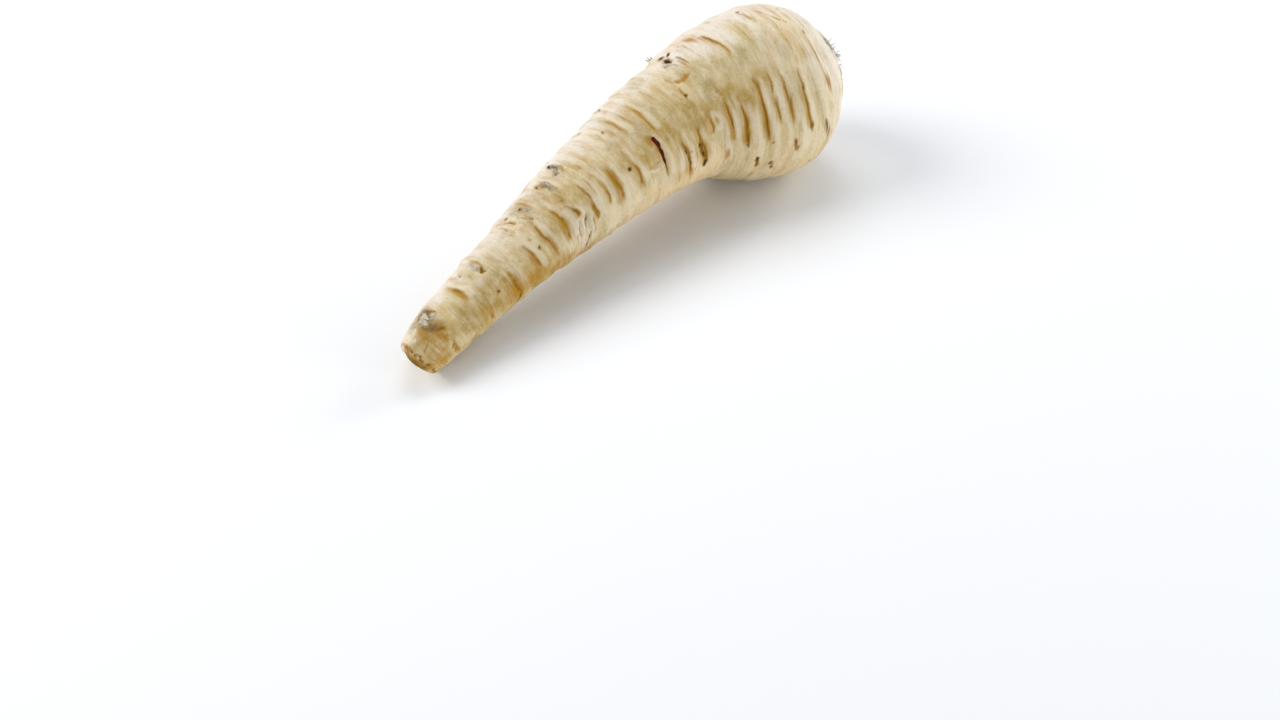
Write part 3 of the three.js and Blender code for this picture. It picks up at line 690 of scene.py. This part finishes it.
# metres, set on the place of the solid that it replaces
cadLow, cadHigh = (np.array(corner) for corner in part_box("parsnip_root"))
low, high = verts.min(0) / 1000, verts.max(0) / 1000
offset = np.array([*((cadLow + cadHigh) / 2 - (low + high) / 2)[:2], cadLow[2] - low[2]])
verts = verts / 1000 + offset

rootMesh = bpy.data.meshes.new("parsnipRoot")
rootMesh.from_pydata(verts.tolist(), [], faces)
rootMesh.update()
rootMesh.polygons.foreach_set("use_smooth", np.ones(len(rootMesh.polygons), bool))
rootPiece = bpy.data.objects.new("parsnipRoot", rootMesh)
bpy.context.scene.collection.objects.link(rootPiece)
print("root surface", len(verts), "points")

# the sides that face away get the same kinds of marks, from the same dice
anyStation = (8, 190, 1)
strew(soilSpecks, 90, anyStation, (100, 200, 1), (0.4, 0.6, 1), (0.6, 2.4, 2), (0.4, 0.6, 1))
strew(ochreSpotsAndShade, 60, anyStation, (95, 215, 1), (0.8, 1.2, 1), (2, 6, 1), (0.4, 0.5, 1))
strew(paleScuffsAndBounce, 26, anyStation, (110, 190, 1), (0.8, 2.2, 1), (3, 6, 1), (0.3, 0.4, 1))

skinOnly = onSkin * (1 - smooth(station, 204.5, 206))
# zones of skin with ragged edges: painted shade as a khaki band with drab above it, a painted highlight
# on the upper side, painted warm bounce light on the underside
uneven = noiseSum(station, angle, (16, 17.0, 8, 31), (12, 5.0, 19, 32), (6, 2.2, 40, 34))
shaken = turnBetween(angle, 60) + 60 + uneven
roughen = 0.8 + noiseSum(station, angle, (0.35, 4.0, 26, 35), (0.2, 1.8, 56, 36))
khakiShadeAndTone = np.clip(markField(station, angle, radius, khakiShadeAndTonePatches, *tintEdge) * roughen, 0, 1)
drabShadeAndTone = np.clip(markField(station, angle, radius, drabShadeAndTonePatches, *tintEdge) * roughen, 0, 1)
# painted highlight: the upper side and the shoulder by the crown are drawn paler and greyer
paintedTopHighlight = smooth(shaken + 18 * smooth(station, 140, 172), *zones["highlightSide"])
paintedTopHighlight = paintedTopHighlight * (1 - 0.7 * smooth(shaken, *zones["highlightFarSide"])) * (1 - 0.6 * drabShadeAndTone)
paintedShoulderHighlight = 0.9 * smooth(station + 0.3 * uneven, *zones["paintedShoulderHighlight"])
paintedTopHighlight = np.maximum(paintedTopHighlight, paintedShoulderHighlight)
# painted warm bounce light along the underside of the neck and swelling
peachyBounceLight = (1 - smooth(shaken, *zones["bounceSide"])) * smooth(station, *zones["bounceFrom"])
peachyBounceLight = peachyBounceLight * (1 - 0.65 * smooth(station, *zones["bounceFading"]))
crownEdge = radius + 0.9 * patchyNoise(2 * radius, angle, 3.0, 23, 72)
crownEdge = crownEdge + 0.6 * patchyNoise(4 * radius, angle, 3.0, 57, 73)
ringRadius, ringWidth = crown["dirtyRing"]
dirtyRing = (station > 190) * np.exp(-((crownEdge - ringRadius) / ringWidth) ** 2)
dirtyRing = dirtyRing * (0.55 + 0.5 * patchyNoise(station, angle, 4.0, 14, 76))
crownMask = (station > 202) * (1 - smooth(crownEdge, *crown["rim"]))
ridge = 0.75 + 0.7 * patchyNoise(radius * 2, angle, 4.0, 11, 75)
ridge = ridge * smooth(station + 1.2 * lift, *crown["ridges"])
brokenRim = (1 - smooth(station, -1.2, 0.2)) * (station < 4)
brokenRim = brokenRim * smooth(radius, *snapped["brownRim"])
brokenRim = brokenRim * (0.5 + 0.45 * patchyNoise(station, angle, 2.0, 16, 74))
brokenRim = brokenRim * (1 - 0.7 * np.exp(-(turnBetween(angle, 125) / 50) ** 2))
fields = {
    "stain": np.maximum(np.maximum(stain, drawn["stain"]) * skinOnly, brokenRim),
    "soil": np.maximum(markField(station, angle, radius, soilSpecks), drawn["soil"]) * skinOnly,
    "ochre": np.maximum(markField(station, angle, radius, ochreSpotsAndShade), drawn["ochre"]) * skinOnly,
    "red": drawn["red"],
    "pale": np.maximum(markField(station, angle, radius, paleScuffsAndBounce), drawn["pale"]),
    "crown": crownMask,
    "ridge": ridge,
    "flesh": (station < 2) * (1 - smooth(radius, *snapped["flesh"])),
    "wear": wear * onSkin,
    "paintedTopHighlight": paintedTopHighlight,
    "peachyBounceLight": peachyBounceLight,
    "khakiShadeAndTone": khakiShadeAndTone,
    "drabShadeAndTone": drabShadeAndTone,
    "scab": markField(station, angle, radius, scabs, *scabEdge) * skinOnly,
    "pillowHighlight": pillowHighlight * skinOnly,
    "halo": np.maximum(halo * skinOnly, dirtyRing),
}


def layOnSkin(name, field, poleShare=1.0):
    # one number for each point; the two end points take a share of what is beside them
    full = np.broadcast_to(field, (rings, sectors))
    values = np.r_[poleShare * full[0, 0], full.ravel(), poleShare * full[-1, 0]]
    layer = rootMesh.attributes.new(name, "FLOAT", "POINT")
    layer.data.foreach_set("value", values.astype(np.float32))


for name, field in fields.items():
    layOnSkin(name, field)
# straightened place on the root in mm, so that patterns follow its bend
straight = np.stack(np.broadcast_arrays(station, radius * np.cos(turn), radius * np.sin(turn)), -1)
straight = np.vstack([[[outline[0, 0], 0, 0]], straight.reshape(-1, 3), [[outline[-1, 0], 0, 0]]])
layer = rootMesh.attributes.new("rootPlace", "FLOAT_VECTOR", "POINT")
layer.data.foreach_set("vector", straight.astype(np.float32).ravel())
print("marks laid on the skin")

# raw parsnip skin, washed and air dried: matt, a little waxier in random blots; the paler skin on the
# swellings beside the creases is a painted highlight
skinLook = {
    "roughness": (0.5, 0.68),    # waxiest and driest
    "bumpStrength": 0.55,
    "bumpDepth": 0.00018,
    "sockets": {
        "IOR": 1.42,
        "Specular IOR Level": 0.15,
        "Subsurface Weight": 0.12,
        "Subsurface Radius": (1.0, 0.9, 0.75),
        "Subsurface Scale": 0.001,
    },
}
# name: size in mm along the root and across it, detail, roughness of the noise
patterns = {
    "broad": (22.22, 22.22, 3.0, 0.5),
    "patch": (7.692, 20.0, 4.0, 0.6),
    "band": (3.03, 20.0, 4.0, 0.6),
    "streak": (0.9091, 10.0, 4.0, 0.6),
    "mottle": (2.381, 5.882, 5.0, 0.65),
    "grain": (0.7692, 1.0, 5.0, 0.7),    # really about 0.3 mm, drawn coarser so that it shows
    "blot": (1.111, 1.818, 4.0, 0.6),
    "fleck": (0.5, 0.625, 3.0, 0.6),
}
skin = bpy.data.materials.new("washedParsnipSkin")
skin.use_nodes = True
tree = skin.node_tree
shader = tree.nodes["Principled BSDF"]
place = addNode(tree, "ShaderNodeAttribute", attribute_name="rootPlace").outputs["Vector"]
sources = {name: addNode(tree, "ShaderNodeAttribute", attribute_name=name).outputs["Fac"]
           for name in fields}
for order, (name, (along, across, detail, rough)) in enumerate(patterns.items()):
    mapping = addNode(tree, "ShaderNodeMapping", links={"Vector": place},
                      values={"Scale": (1 / along, 1 / across, 1 / across),
                              "Location": (order * 13.7, order * 5.1, 0)})
    noise = addNode(tree, "ShaderNodeTexNoise", links={"Vector": mapping},
                    values={"Scale": 1.0, "Detail": detail, "Roughness": rough})
    sources[name] = noise.outputs["Fac"]


def layTones(ground, tones):
    # tones over a ground colour, each of them where its source goes from low to high
    links, values = {}, {6: hexColour(ground)}
    for source, low, high, strength, blend, tint in tones:
        share = addNode(tree, "ShaderNodeMapRange", interpolation_type="SMOOTHSTEP",
                        links={0: sources[source]}, values={1: low, 2: high, 4: strength})
        mix = addNode(tree, "ShaderNodeMix", data_type="RGBA", blend_type=blend,
                      links={0: share, **links}, values={7: hexColour(tint), **values})
        links, values = {6: mix.outputs[2]}, {}
    return mix.outputs[2]


# source, low, high, strength, how it is laid over, colour
colour = layTones("#d8c595", [
    ("broad", 0.35, 0.65, 1.0, "MIX", "#e1d1ad"),
    # painted warm bounce light on the underside, then a painted highlight on the upper side
    ("peachyBounceLight", 0.0, 1.0, 0.85, "MIX", "#e9ce9f"),
    ("paintedTopHighlight", 0.0, 1.0, 0.9, "MIX", "#e6ddd1"),
    # painted shade: drab, then khaki
    ("drabShadeAndTone", 0.0, 1.0, 0.85, "MIX", "#c4b491"),
    ("khakiShadeAndTone", 0.0, 1.0, 0.92, "MIX", "#b99a50"),
    ("patch", 0.53, 0.66, 0.42, "MULTIPLY", "#f0d9bf"),
    ("patch", 0.47, 0.36, 0.5, "MULTIPLY", "#dcd5b6"),
    ("band", 0.54, 0.68, 0.28, "MULTIPLY", "#e0c68c"),
    ("mottle", 0.52, 0.7, 0.34, "MULTIPLY", "#dcc496"),
    ("mottle", 0.48, 0.32, 0.3, "MIX", "#eee3cc"),
    # painted highlight on the raised skin beside the creases
    ("pillowHighlight", 0.1, 0.9, 0.5, "MIX", "#e9dcc0"),
    ("streak", 0.53, 0.7, 0.2, "MULTIPLY", "#dcc390"),
    ("streak", 0.47, 0.3, 0.1, "MIX", "#f2ead8"),
    ("grain", 0.52, 0.7, 0.34, "MULTIPLY", "#cdb07c"),
    ("grain", 0.48, 0.3, 0.2, "MIX", "#f4ecdb"),
])
# mask, noise that frays its edge, how much, where it starts and ends, strength, colour
layers = [
    # pale marks, the broad ones partly painted bounce light
    ("pale", "streak", 0.7, 0.25, 0.85, 0.7, "#e9ddc8"),
    ("wear", "band", 0.9, 0.5, 1.3, 0.6, "#b9a26c"),
    ("halo", "streak", 1.0, 0.0, 1.1, 0.85, "#b48a30"),
    # ochre marks, partly painted shade and golden reflection on the underside
    ("ochre", "streak", 0.9, 0.1, 0.95, 0.9, "#b07f1c"),
    ("stain", "grain", 0.45, 0.15, 0.75, 0.92, "#a0700e"),
    ("stain", "blot", 0.6, 0.55, 1.1, 0.9, "#6a4203"),
    ("scab", "mottle", 0.7, 0.15, 0.9, 0.75, "#a3977c"),
    ("scab", "fleck", 1.5, 0.6, 1.0, 0.8, "#54401f"),
    ("scab", "blot", 1.6, 0.75, 1.1, 0.75, "#d8cfbb"),
    ("red", "grain", 0.25, 0.3, 0.65, 1.0, "#5a1500"),
    ("soil", "grain", 0.5, 0.12, 0.6, 0.7, "#8d682c"),
    ("soil", "grain", 0.5, 0.5, 0.9, 0.95, "#361b05"),
]
for mask, fray, amount, low, high, strength, tint in layers:
    frayed = addNode(tree, "ShaderNodeMath", operation="MULTIPLY_ADD", values={1: amount},
                     links={0: sources[fray], 2: sources[mask]})
    # the noise is about a half, so the edge is put back by half of what it adds
    edge = addNode(tree, "ShaderNodeMapRange", interpolation_type="SMOOTHSTEP",
                   links={0: frayed},
                   values={1: low + amount / 2, 2: high + amount / 2, 4: strength})
    present = addNode(tree, "ShaderNodeMapRange", interpolation_type="SMOOTHSTEP",
                      links={0: sources[mask]}, values={1: 0.02, 2: 0.12})
    inside = addNode(tree, "ShaderNodeMath", operation="MULTIPLY", use_clamp=True,
                     links={0: edge, 1: present})
    colour = addNode(tree, "ShaderNodeMix", data_type="RGBA", values={7: hexColour(tint)},
                     links={0: inside, 6: colour}).outputs[2]
# corky scar of the crown: dark gaps, grey-tan fibrous ridges; snapped flesh: dry tan, streaked
sources["corkRidge"] = addNode(tree, "ShaderNodeMath", operation="MULTIPLY_ADD", values={1: 1.5},
                               links={0: sources["grain"], 2: sources["ridge"]}).outputs[0]
cork = layTones("#1d140a", [("corkRidge", 0.6, 1.3, 1.0, "MIX", "#7f6236"),
                            ("corkRidge", 1.35, 2.0, 0.85, "MIX", "#bda171")])
flesh = layTones("#d8caa8", [("mottle", 0.35, 0.7, 1.0, "MIX", "#b3935c")])
for mask, bare in (("crown", cork), ("flesh", flesh)):
    colour = addNode(tree, "ShaderNodeMix", data_type="RGBA",
                     links={0: sources[mask], 6: colour, 7: bare}).outputs[2]
tree.links.new(colour, shader.inputs["Base Color"])
waxy, dry = skinLook["roughness"]
roughness = addNode(tree, "ShaderNodeMapRange", links={0: sources["blot"]},
                    values={1: 0.3, 2: 0.7, 3: waxy, 4: dry})
tree.links.new(roughness.outputs[0], shader.inputs["Roughness"])
for socket, value in skinLook["sockets"].items():
    shader.inputs[socket].default_value = value
bumpSum = addNode(tree, "ShaderNodeMath", operation="MULTIPLY_ADD", values={1: 1.6},
                  links={0: sources["streak"], 2: sources["grain"]})
bump = addNode(tree, "ShaderNodeBump", links={"Height": bumpSum},
               values={"Strength": skinLook["bumpStrength"], "Distance": skinLook["bumpDepth"]})
tree.links.new(bump.outputs[0], shader.inputs["Normal"])
rootMesh.materials.append(skin)
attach(rootPiece, "root")
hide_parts("parsnip_root")
print("skin material ready")


def twoToneMaterial(name, look):
    # two tones of one dry material, mixed by a fine noise
    material = bpy.data.materials.new(name)
    material.use_nodes = True
    nodes = material.node_tree
    place = addNode(nodes, "ShaderNodeTexCoord").outputs["Object"]
    noise = addNode(nodes, "ShaderNodeTexNoise", links={"Vector": place},
                    values={"Scale": 1000 / look["speck"], "Detail": 3.0, "Roughness": 0.6})
    share = addNode(nodes, "ShaderNodeMapRange", links={0: noise.outputs["Fac"]},
                    values={1: 0.35, 2: 0.65})
    mix = addNode(nodes, "ShaderNodeMix", data_type="RGBA", links={0: share},
                  values={6: hexColour(look["dark"]), 7: hexColour(look["light"])})
    surface = nodes.nodes["Principled BSDF"]
    nodes.links.new(mix.outputs[2], surface.inputs["Base Color"])
    surface.inputs["Roughness"].default_value = look["roughness"]
    surface.inputs["Specular IOR Level"].default_value = 0.2
    return material


def scatterTree(name, sizes, growth, seed):
    # a tree with named sizes that strews points where the growth attribute says so
    tree = bpy.data.node_groups.new(name, "GeometryNodeTree")
    tree.interface.new_socket("Geometry", in_out="INPUT", socket_type="NodeSocketGeometry")
    for size in ("Density", *sizes):
        tree.interface.new_socket(size, in_out="INPUT", socket_type="NodeSocketFloat")
    tree.interface.new_socket("Geometry", in_out="OUTPUT", socket_type="NodeSocketGeometry")
    given = addNode(tree, "NodeGroupInput").outputs
    share = addNode(tree, "GeometryNodeInputNamedAttribute", data_type="FLOAT",
                    values={"Name": growth})
    density = addNode(tree, "ShaderNodeMath", operation="MULTIPLY",
                      links={0: given["Density"], 1: share.outputs["Attribute"]})
    scatter = addNode(tree, "GeometryNodeDistributePointsOnFaces", values={"Seed": seed},
                      links={"Mesh": given["Geometry"], "Density": density})
    return tree, given, scatter.outputs


def closeTree(tree, grown, material):
    joined = addNode(tree, "GeometryNodeRealizeInstances", links={0: grown})
    dressed = addNode(tree, "GeometryNodeSetMaterial", links={0: joined},
                      values={"Material": material})
    addNode(tree, "NodeGroupOutput", links={0: dressed})
    return tree


def growOnRoot(tree, look):
    # runs the tree on the root's mesh and keeps the result as a plain mesh of its own
    piece = bpy.data.objects.new(tree.name, rootMesh)
    bpy.context.scene.collection.objects.link(piece)
    modifier = piece.modifiers.new("grow", "NODES")
    modifier.node_group = tree
    for item in tree.interface.items_tree:
        if item.in_out == "INPUT" and item.name in look:
            modifier[item.identifier] = look[item.name]
    evaluated = piece.evaluated_get(bpy.context.evaluated_depsgraph_get())
    plain = bpy.data.meshes.new_from_object(evaluated)
    plain.name = tree.name
    piece.modifiers.clear()
    piece.data = plain
    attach(piece, "root")
    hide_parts("parsnip_root")
    print(piece.name, len(plain.polygons), "faces")
    return piece


def strandTree(name, growth, material, look):
    # bent strands that stand on the skin, thinner towards their ends
    seed, sizes = look["seed"], ["Length", "Thickness", "Curl", "Lean"]
    tree, given, points = scatterTree(name, sizes, growth, seed)
    line = addNode(tree, "GeometryNodeCurvePrimitiveLine", mode="DIRECTION",
                   values={"Direction": (0, 0, 1)}, links={"Length": given["Length"]})
    strand = addNode(tree, "GeometryNodeResampleCurve", links={"Curve": line},
                     values={"Count": 6})
    anyWay = addNode(tree, "FunctionNodeRandomValue", data_type="FLOAT_VECTOR",
                     values={0: (-1, -1, 0), 1: (1, 1, 0), "Seed": seed + 1})
    lean = addNode(tree, "ShaderNodeVectorMath", operation="SCALE",
                   links={0: anyWay, "Scale": given["Lean"]})
    leanTurn = addNode(tree, "FunctionNodeEulerToRotation", links={0: lean})
    tilt = addNode(tree, "FunctionNodeRotateRotation", rotation_space="LOCAL",
                   links={"Rotation": points["Rotation"], "Rotate By": leanTurn})
    tall = addNode(tree, "FunctionNodeRandomValue", data_type="FLOAT",
                   values={2: look["shortest"], 3: look["tallest"], "Seed": seed + 2})
    stand = addNode(tree, "GeometryNodeInstanceOnPoints",
                    links={"Points": points["Points"], "Instance": strand,
                           "Rotation": tilt, "Scale": tall.outputs[1]})
    loose = addNode(tree, "GeometryNodeRealizeInstances", links={0: stand})
    along = addNode(tree, "GeometryNodeSplineParameter").outputs["Factor"]
    bend = addNode(tree, "ShaderNodeTexNoise", values={"Scale": 420.0, "Detail": 1.0})
    centred = addNode(tree, "ShaderNodeVectorMath", operation="SUBTRACT",
                      links={0: bend.outputs["Color"]}, values={1: (0.5, 0.5, 0.5)})
    amount = addNode(tree, "ShaderNodeMath", operation="MULTIPLY",
                     links={0: along, 1: given["Curl"]})
    push = addNode(tree, "ShaderNodeVectorMath", operation="SCALE",
                   links={0: centred, "Scale": amount})
    bent = addNode(tree, "GeometryNodeSetPosition",
                   links={"Geometry": loose, "Offset": push})
    thin = addNode(tree, "ShaderNodeMapRange", links={0: along}, values={3: 1.0, 4: 0.35})
    ring = addNode(tree, "GeometryNodeCurvePrimitiveCircle", values={"Resolution": look["sides"]},
                   links={"Radius": given["Thickness"]})
    tube = addNode(tree, "GeometryNodeCurveToMesh", values={"Fill Caps": True},
                   links={0: bent, 1: ring, 2: thin})
    return closeTree(tree, tube, material)


def grainTree(name, growth, material, look):
    # small rounded grains lying along the skin
    tree, given, points = scatterTree(name, ["Size"], growth, look["seed"])
    grain = addNode(tree, "GeometryNodeMeshIcoSphere", values={"Subdivisions": 1},
                    links={"Radius": given["Size"]})
    size = addNode(tree, "FunctionNodeRandomValue", data_type="FLOAT_VECTOR",
                   values={0: look["least"], 1: look["most"], "Seed": look["seed"] + 1})
    roundRoot = addNode(tree, "ShaderNodeVectorMath", operation="CROSS_PRODUCT",
                        links={0: points["Normal"]}, values={1: (1, 0, 0)})
    laid = addNode(tree, "FunctionNodeAlignRotationToVector", axis="Y", pivot_axis="Z",
                   links={"Rotation": points["Rotation"], "Vector": roundRoot})
    strewn = addNode(tree, "GeometryNodeInstanceOnPoints",
                     links={"Points": points["Points"], "Instance": grain.outputs["Mesh"],
                            "Rotation": laid, "Scale": size})
    return closeTree(tree, strewn, material)


clearOfFloor = smooth(shape[..., 2], 3.0, 5.0)    # nothing grows on the flats that it lies on

# dry leaf-base fibres round the crown scar: thin curled strands, thickest on its rims
fibre = {
    "Density": 900000.0,    # strands to a square metre
    "Length": 0.0025,
    "Thickness": 0.00014,
    "Curl": 0.0044,
    "Lean": 0.9,
    "shortest": 0.35,       # shares of the length
    "tallest": 1.25,
    "sides": 3,
    "seed": 7,
    "rims": [(14.6, 1.0, 1.0), (8.4, 1.6, 0.4)],    # radius, width, share of the strands
    "tuft": (50, 13, 15.6, 1.6, 3.5),               # angle, its spread, radius, its spread, strength
    "dark": "#7a6b4a",
    "light": "#c2b292",
    "speck": 1.111,         # mm
    "roughness": 0.85,
}
rimGrowth = inCrown * np.clip(0.25 + 1.2 * patchyNoise(radius * 2.5, angle, 4.0, 15, 71), 0, 1)
rimShare = sum(share * np.exp(-((radius - at) / wide) ** 2) for at, wide, share in fibre["rims"])
rimGrowth = rimGrowth * (rimShare + 0.2 * (radius < 6))
around, aroundSpread, at, spread, strength = fibre["tuft"]
tuft = np.exp(-(turnBetween(angle, around) / aroundSpread) ** 2 - ((radius - at) / spread) ** 2)
tuft = strength * tuft * (station > 203)
layOnSkin("fibre", np.maximum(rimGrowth, tuft) * clearOfFloor, 0)
# dried plant fibre: dull grey-tan threads that stay lighter than the scar under them
dryFibre = twoToneMaterial("driedLeafBaseFibre", fibre)
fibreTree = strandTree("crownFibres", "fibre", dryFibre, fibre)
growOnRoot(fibreTree, fibre)

# stubs of fine side roots, left on the scars: darker, stiffer, few
rootlet = {
    "Density": 170000.0,
    "Length": 0.0012,
    "Thickness": 0.0003,
    "Curl": 0.0016,
    "Lean": 0.5,
    "shortest": 0.35,
    "tallest": 1.25,
    "sides": 4,
    "seed": 19,
    # station, angle, length, width, strength
    "places": [
        (143.1, 137, 1.0, 1.0, 6.0), (131, 203, 1.2, 1.5, 1.3), (96, 205, 1.2, 1.5, 1.1),
        (150, 182, 1.2, 1.5, 1.0), (44, 196, 1.1, 1.3, 1.2),
    ],
    "dark": "#2c2113",
    "light": "#7d6a47",
    "speck": 0.8333,
    "roughness": 0.8,
}
layOnSkin("stub", markField(station, angle, radius, rootlet["places"], 0.2) * clearOfFloor, 0)
# shrivelled root bark: nearly black ticks against the pale skin
darkRoot = twoToneMaterial("driedSideRoot", rootlet)
stubTree = strandTree("sideRootStubs", "stub", darkRoot, rootlet)
growOnRoot(stubTree, rootlet)

# soil crumbs caught in the pits, creases and the crown
crumb = {
    "Density": 700000.0,
    "Size": 0.00022,
    "least": (0.5, 0.5, 0.25),    # shares of the size along, round and up from the root
    "most": (1.3, 1.6, 0.8),
    "seed": 31,
    "dark": "#2a1a0b",
    "light": "#6b4d29",
    "speck": 0.6667,
    "roughness": 0.95,
}
crumbGrowth = np.maximum(smooth(fields["soil"], 0.6, 1.1), 0.12 * crownMask * (1 - ridge))
layOnSkin("crumb", crumbGrowth * clearOfFloor, 0)
# dried earth: fully matt dark grains that make the marks look gritty
drySoil = twoToneMaterial("driedSoil", crumb)
crumbTree = grainTree("soilCrumbs", "crumb", drySoil, crumb)
growOnRoot(crumbTree, crumb)

# papery shreds of torn skin, long across the root
shred = {
    "Density": 500000.0,
    "Size": 0.00028,
    "least": (0.35, 2.5, 0.15),
    "most": (0.7, 6.0, 0.4),
    "seed": 43,
    "places": [
        (76, 12, 1.4, 5.0, 0.8), (71.5, 8, 1.8, 6.5, 1.0), (69.6, 20, 1.0, 5.0, 0.5),
        (72, -14, 1.6, 4.5, 1.0), (105, 20, 1.0, 3.0, 0.4), (139, 95, 2.0, 3.5, 0.25),
        (81, 105, 2.0, 3.5, 0.25), (9, 92, 2.5, 4.0, 0.25),
    ],
    "dark": "#c4b491",
    "light": "#ece4d4",
    "speck": 1.4286,
    "roughness": 0.7,
}
layOnSkin("torn", markField(station, angle, radius, shred["places"], 0.5) * clearOfFloor, 0)
# thin dried skin: pale flakes with a little more sheen than the soil
paperSkin = twoToneMaterial("dryPaperySkin", shred)
shredTree = grainTree("skinShreds", "torn", paperSkin, shred)
growOnRoot(shredTree, shred)
